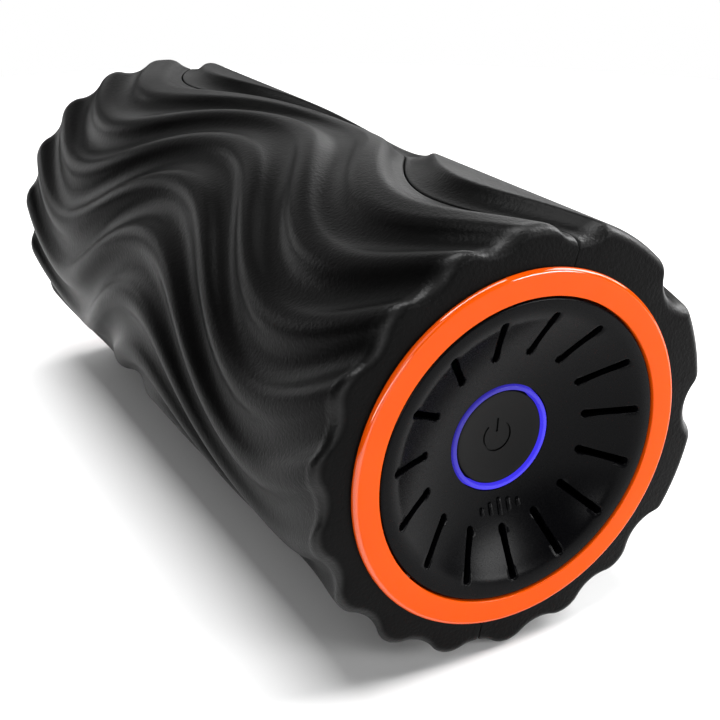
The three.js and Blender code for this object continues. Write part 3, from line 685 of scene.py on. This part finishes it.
def foam_half(name, start, widths, node_name):
    """Half of the sleeve: an outside, a coarser bore, and flat faces at the ends and the seams."""
    past, radius = foam_columns(widths)
    rows = foam_rows()
    drop = corner_drop(FOAM_HALF - np.abs(rows), END_ROUND)
    angle = np.radians(start - past[None, :] + wave_shift(rows)[:, None])
    reach = radius[None, :] - drop[:, None]
    depth = np.broadcast_to(rows[:, None], angle.shape)
    outer = np.stack([reach * np.cos(angle), depth, reach * np.sin(angle)], -1)
    high, wide = angle.shape
    row_picks = picked(high)
    column_picks = picked(wide)
    bore_angle = angle[np.ix_(row_picks, column_picks)]
    bore_depth = np.broadcast_to(rows[row_picks][:, None], bore_angle.shape)
    bore_x, bore_z = BORE_RADIUS * np.cos(bore_angle), BORE_RADIUS * np.sin(bore_angle)
    bore = np.stack([bore_x, bore_depth, bore_z], -1)
    vertices = np.concatenate([outer.reshape(-1, 3), bore.reshape(-1, 3)])
    first_bore = high * wide

    def outside(i, j):
        return i * wide + j

    def inside(i, j):
        return first_bore + i * len(column_picks) + j

    faces = []
    for i in range(high - 1):
        for j in range(wide - 1):
            corners = (i, j), (i, j + 1), (i + 1, j + 1), (i + 1, j)
            faces.append([outside(*corner) for corner in corners])
    for i in range(len(row_picks) - 1):
        for j in range(len(column_picks) - 1):
            corners = (i, j), (i + 1, j), (i + 1, j + 1), (i, j + 1)
            faces.append([inside(*corner) for corner in corners])
    for i, row in ((0, 0), (len(row_picks) - 1, high - 1)):
        for j in range(len(column_picks) - 1):
            span = range(column_picks[j], column_picks[j + 1] + 1)
            faces.append([outside(row, k) for k in span] + [inside(i, j + 1), inside(i, j)])
    for j, column in ((0, 0), (len(column_picks) - 1, wide - 1)):
        for i in range(len(row_picks) - 1):
            span = range(row_picks[i], row_picks[i + 1] + 1)
            faces.append([outside(k, column) for k in span] + [inside(i + 1, j), inside(i, j)])
    half = piece_from(name, vertices, faces, MATERIALS["foam"], FOAM_SHARP_ANGLE)
    fit(half, "roller", "foam", node_name)


def add_foam():
    foam_half("foam_right", SEAM_ANGLE, RIGHT_RIDGES, "foam_shell_right")
    foam_half("foam_left", SEAM_ANGLE - sum(RIGHT_RIDGES), LEFT_RIDGES, "foam_shell_left")


# ---- End parts -----------------------------------------------------------------------------------

def add_ring(end, label):
    """A trim ring with a softly rounded outer edge, and the clips that hold it on the cap's flange."""
    plastic = MATERIALS["orange_plastic"]
    inner_under = RING_UNDER + 0.001
    face = rounded([
        (RING_INNER, 0, 0.0004), (RING_RADIUS, 0, RING_FACE_ROUND), (RING_RADIUS, RING_UNDER, 0.0001),
        (RING_INNER, inner_under, 0),
    ], 8)
    ring = turned(f"trim_ring_{label}", end, face, plastic)
    top = RING_UNDER - 0.0004
    catch = FLANGE_BACK + 0.0003
    hook = FLANGE_BACK + CLIP_HOOK
    clip = rounded([
        (CLIP_INNER, top, 0), (CLIP_OUTER, top, 0), (CLIP_OUTER, hook, 0.0004),
        (CLIP_HOOK_INNER, hook, 0.0003), (CLIP_HOOK_INNER, catch, 0.0002), (CLIP_INNER, catch, 0),
    ], 3)
    clips = [
        turned("clip", end, clip, plastic, CLIP_SWEEP, angle - CLIP_SWEEP / 2, CLIP_SWEEP)
        for angle in CLIP_ANGLES
    ]
    applied(ring, clips, "UNION")
    fit(ring, "roller", "orange_plastic", f"{label}_ring")


def placed(end, x, z, depth):
    """The same as end_point, but from X and Z as seen from outside."""
    return end_point(end, math.hypot(x, z), math.degrees(math.atan2(z, x)), depth)


def stadium_solid(end, centre, along, length, surface, levels):
    """A solid with a stadium's outline that follows a surface.

    Each level is an offset below the surface and the outline's half width there.
    """
    loops = []
    for offset, half_width in levels:
        outline = stadium(centre, along, length, half_width)
        loops.append([placed(end, x, z, surface(math.hypot(x, z)) + offset) for x, z in outline])
    return loft("stadium", loops, MATERIALS["black_plastic"])


def slot_cutter(end, angle):
    """A radial slot that follows the dish, with a rounded edge."""
    turn = math.radians(angle)
    along = Vector((math.cos(turn), math.sin(turn)))
    centre = along * ((SLOT_INNER + SLOT_OUTER) / 2)
    length = SLOT_OUTER - SLOT_INNER - SLOT_WIDTH
    half = SLOT_WIDTH / 2
    above = 0.0005
    below = DISH_WALL + 0.002
    levels = [(-above, half + SLOT_EDGE + above)]
    for k in range(1, SLOT_EDGE_STEPS + 1):
        edge_turn = math.pi / 2 * k / SLOT_EDGE_STEPS
        width = half + SLOT_EDGE * (1 - math.sin(edge_turn))
        levels.append((SLOT_EDGE * (1 - math.cos(edge_turn)), width))
    levels.append((below, half))
    return stadium_solid(end, centre, along, length, cap_depth, levels)


def mark_bars(end):
    """The raised mark under the button: five upright bars, tallest in the middle."""
    half = MARK_STROKE / 2
    top_half = half - 0.0003
    shoulder = -MARK_RISE + 0.0002
    root = 0.0008
    levels = ((-MARK_RISE, top_half), (shoulder, half), (root, half))
    bars = []
    for k, height in enumerate(MARK_BARS):
        centre = Vector((MARK_PITCH * (k - (len(MARK_BARS) - 1) / 2), -MARK_RADIUS))
        bars.append(stadium_solid(end, centre, UPRIGHT, height - MARK_STROKE, cap_depth, levels))
    return bars


def round_bars(end, radius, depths, circle, angles, segments=24):
    """Bars along the roller's axis, between two depths, spaced round a circle."""
    bars = []
    for angle in angles:
        turn = math.radians(angle)
        cx, cz = circle * math.cos(turn), circle * math.sin(turn)
        loops = []
        for depth in depths:
            loop = []
            for k in range(segments):
                t = 2 * math.pi * k / segments
                loop.append(placed(end, cx + radius * math.cos(t), cz + radius * math.sin(t), depth))
            loops.append(loop)
        bars.append(loft("bar", loops, MATERIALS["black_plastic"]))
    return bars


def cap_outline(centre, back_centre, inner):
    """The cap's closed outline: centre, dish, lip, wall, flange and the back of the dish.

    The dish starts at the inner radius, and the two centres are the corners within it.
    """
    count = 40
    reach = DISH_RADIUS + LIP_EASE - inner
    radii = [inner + reach * k / count for k in range(count + 1)]
    front = [(r, cap_depth(r), 0) for r in radii]
    back = [(r, dish_depth(r) + DISH_WALL, 0) for r in radii[::-2] if r < DISH_RADIUS - 0.001]
    lip = [
        (LIP_RADIUS, cap_depth(LIP_RADIUS), LIP_ROUND), (LIP_RADIUS, FLANGE_DEPTH, 0),
        (FLANGE_RADIUS, FLANGE_DEPTH, 0), (FLANGE_RADIUS, FLANGE_BACK, 0),
        (WALL_INNER, FLANGE_BACK, 0), (WALL_INNER, WALL_TOP, 0),
    ]
    return rounded(centre + front + lip + back + back_centre)


def finish_cap(cap, end, label, extra_holes):
    """Cuts a cap's slots, the notches for the ring's clips and the screw holes."""
    plastic = MATERIALS["black_plastic"]
    tools = [slot_cutter(end, SLOT_FIRST_ANGLE - 360 / SLOT_COUNT * k) for k in range(SLOT_COUNT)]
    near, far = FLANGE_DEPTH - CUT_MARGIN, FLANGE_BACK + CUT_MARGIN
    outer = FLANGE_RADIUS + CUT_MARGIN
    notch = [Vector(corner) for corner in (
        (NOTCH_INNER, near), (outer, near), (outer, far), (NOTCH_INNER, far),
    )]
    tools += [
        turned("notch", end, notch, plastic, NOTCH_SWEEP, angle - NOTCH_SWEEP / 2, NOTCH_SWEEP)
        for angle in CLIP_ANGLES
    ]
    tools += round_bars(end, CAP_SCREW_HOLE, (near, far), CAP_SCREW_CIRCLE, CAP_SCREW_ANGLES)
    applied(cap, [merged("cuts", tools + extra_holes)], "DIFFERENCE")
    fit(cap, "roller", "black_plastic", f"{label}_cap")


def add_front_cap():
    """The cap round the light ring, with posts for the light board and the raised mark."""
    outline = cap_outline([], [], LIGHT_RADIUS + LIGHT_GAP)
    cap = turned("cap_front", FRONT, outline, MATERIALS["black_plastic"])
    board_lights = 0.001  # how far the board's lights stand in front of it
    post_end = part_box("led_board")[0].y + END_Y + board_lights
    posts = round_bars(FRONT, BOSS_RADIUS, (BOSS_TOP, post_end), BOSS_CIRCLE, BOSS_ANGLES)
    applied(cap, [merged("additions", posts + mark_bars(FRONT))], "UNION")
    pilots = round_bars(FRONT, PILOT_RADIUS, PILOT_DEPTHS, BOSS_CIRCLE, BOSS_ANGLES, 12)
    finish_cap(cap, FRONT, "front", pilots)


def add_rear_cap():
    """The cap with a flat seat for the charging socket in the middle of its dish."""
    back = SOCKET_SEAT + DISH_WALL
    centre = [(SOCKET_HOLE, SOCKET_SEAT, 0.0002), (SOCKET_SEAT_RADIUS, SOCKET_SEAT, 0.0004)]
    back_centre = [(SOCKET_SEAT_RADIUS, back, 0), (SOCKET_HOLE, back, 0)]
    outline = cap_outline(centre, back_centre, LIGHT_RADIUS)
    cap = turned("cap_rear", REAR, outline, MATERIALS["black_plastic"])
    finish_cap(cap, REAR, "rear", [])


def add_light_ring():
    """The lens round the button, with a flange behind the cap."""
    back = LIGHT_FLANGE_DEPTH + LIGHT_FLANGE
    outline = rounded([
        (LIGHT_INNER, LIGHT_DEPTH, 0.0003), (LIGHT_RADIUS, LIGHT_DEPTH, 0.0006),
        (LIGHT_RADIUS, LIGHT_FLANGE_DEPTH, 0), (LIGHT_FLANGE_RADIUS, LIGHT_FLANGE_DEPTH, 0),
        (LIGHT_FLANGE_RADIUS, back, 0), (LIGHT_INNER, back, 0),
    ])
    lens = turned("light_lens", FRONT, outline, MATERIALS["light_plastic"])
    fit(lens, "roller", "light_plastic", "light_ring")


def icon_cutters():
    """The power mark: a groove round an open circle, and a round-ended groove for its bar."""
    half = ICON_STROKE / 2
    narrow = half * ICON_TAPER
    face = button_depth(ICON_RADIUS)
    top, bottom = face - CUT_MARGIN, face + ICON_DEPTH
    groove = [Vector(corner) for corner in (
        (ICON_RADIUS - half, top), (ICON_RADIUS + half, top),
        (ICON_RADIUS + narrow, bottom), (ICON_RADIUS - narrow, bottom),
    )]
    sweep = 360 - 2 * ICON_GAP
    arc = turned("arc", FRONT, groove, MATERIALS["button_plastic"], 60, 90 + ICON_GAP, sweep)
    levels = ((-CUT_MARGIN, half), (0, half), (ICON_DEPTH, narrow))
    centre = Vector((0, ICON_RADIUS * 0.78))
    bar = stadium_solid(FRONT, centre, UPRIGHT, ICON_RADIUS * 0.85, button_depth, levels)
    return [arc, bar]


def add_button():
    """The button, with a shallow finger dish and an engraved power mark."""
    count = 16
    radii = [BUTTON_RIM * k / count for k in range(count)]
    face = [(TINY + radius, button_depth(radius), 0) for radius in radii]
    outline = rounded(face + [
        (BUTTON_RADIUS, BUTTON_DEPTH, 0.0006), (BUTTON_RADIUS, BUTTON_FLANGE_DEPTH, 0),
        (BUTTON_FLANGE_RADIUS, BUTTON_FLANGE_DEPTH, 0), (BUTTON_FLANGE_RADIUS, BUTTON_SKIRT, 0),
        (BUTTON_SKIRT_INNER, BUTTON_SKIRT, 0), (BUTTON_SKIRT_INNER, BUTTON_BACK, 0),
        (BUTTON_STEM_RADIUS, BUTTON_BACK, 0), (BUTTON_STEM_RADIUS, BUTTON_SKIRT, 0),
        (TINY, BUTTON_SKIRT, 0),
    ])
    button = turned("button", FRONT, outline, MATERIALS["button_plastic"])
    applied(button, [merged("strokes", icon_cutters())], "DIFFERENCE")
    fit(button, "button", "button_plastic", "power_button")


def add_socket():
    """The round charging socket in the middle of the rear cap, with its centre pin."""
    seat = SOCKET_SEAT - 0.0001  # just clear of the cap's seat
    rim = seat - SOCKET_RIM
    back = END_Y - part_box("charge_socket")[0].y
    outline = rounded([
        (TINY, SOCKET_BORE_DEPTH, 0), (SOCKET_BORE, SOCKET_BORE_DEPTH, 0), (SOCKET_BORE, rim, 0.0005),
        (SOCKET_RIM_RADIUS, rim, 0.0007), (SOCKET_RIM_RADIUS, seat, 0.0001), (SOCKET_BARREL, seat, 0),
        (SOCKET_BARREL, back, 0), (TINY, back, 0),
    ])
    barrel = turned("socket", REAR, outline, MATERIALS["black_plastic"], 64)
    tip, foot = seat - 0.0006, SOCKET_BORE_DEPTH + 0.0005
    pin_outline = rounded([
        (TINY, tip, 0), (PIN_RADIUS, tip, 0.0006), (PIN_RADIUS, foot, 0), (TINY, foot, 0),
    ])
    pin = turned("socket_pin", REAR, pin_outline, MATERIALS["steel"], 32)
    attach(pin, "roller")
    fit(barrel, "roller", "black_plastic", "charge_socket")


# ---- Studio --------------------------------------------------------------------------------------

def add_floor():
    """A round floor. Past its rim the white backdrop takes over."""
    count = 96
    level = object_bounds()[0].z
    turns = [2 * math.pi * k / count for k in range(count)]
    rim = [(FLOOR_RADIUS * math.cos(turn), FLOOR_RADIUS * math.sin(turn), level) for turn in turns]
    mesh = bpy.data.meshes.new("floor")
    mesh.from_pydata(rim, [], [tuple(range(count))])
    floor = bpy.data.objects.new("floor", mesh)
    bpy.context.scene.collection.objects.link(floor)
    material, tree, _ = start_material("floor")
    end_material(tree, Base_Color=grey(0.9), Roughness=0.9, Specular_IOR_Level=0.1)
    mesh.materials.append(material)


def soft_box(name, azimuth, elevation, size, power):
    """A soft box aimed at the roller. Azimuth runs from +X towards +Y."""
    turn, tilt = math.radians(azimuth), math.radians(elevation)
    towards = Vector((math.cos(tilt) * math.cos(turn), math.cos(tilt) * math.sin(turn), math.sin(tilt)))
    light = bpy.data.lights.new(name, "AREA")
    light.shape = "RECTANGLE"
    light.size, light.size_y = size
    light.energy = power
    lamp = bpy.data.objects.new(name, light)
    bpy.context.scene.collection.objects.link(lamp)
    lamp.location = towards * LAMP_DISTANCE
    lamp.rotation_mode = "QUATERNION"
    lamp.rotation_quaternion = (-towards).to_track_quat("-Z", "Y")
    lamp.visible_camera = False


def add_world():
    """White to the camera, and a dim fill for everything else."""
    world = bpy.data.worlds.new("studio")
    bpy.context.scene.world = world
    world.use_nodes = True
    tree = world.node_tree
    tree.nodes.clear()
    seen = node(tree, "LightPath").outputs["Is Camera Ray"]
    strength = ramp(tree, seen, 0, 1, WORLD_FILL, 1.0)
    back = node(tree, "Background", {"Color": grey(1.0), "Strength": strength})
    node(tree, "OutputWorld", {"Surface": back.outputs["Background"]})


def add_camera():
    camera = bpy.data.objects.new("camera", bpy.data.cameras.new("camera"))
    bpy.context.scene.collection.objects.link(camera)
    camera.location = CAMERA_PLACE
    camera.rotation_mode = "QUATERNION"
    camera.rotation_quaternion = Vector(CAMERA_AIM).to_track_quat("-Z", "Y")
    camera.data.sensor_width = CAMERA_SENSOR
    camera.data.lens = CAMERA_LENS
    camera.data.clip_start = 0.01
    bpy.context.scene.camera = camera


def add_studio():
    add_world()
    for lamp in LAMPS:
        soft_box(*lamp)
    add_floor()
    add_camera()
    bpy.context.scene.view_settings.view_transform = "Standard"


paint_cad_nodes()
add_foam()
add_ring(FRONT, "front")
add_ring(REAR, "rear")
add_front_cap()
add_rear_cap()
add_light_ring()
add_button()
add_socket()
add_studio()
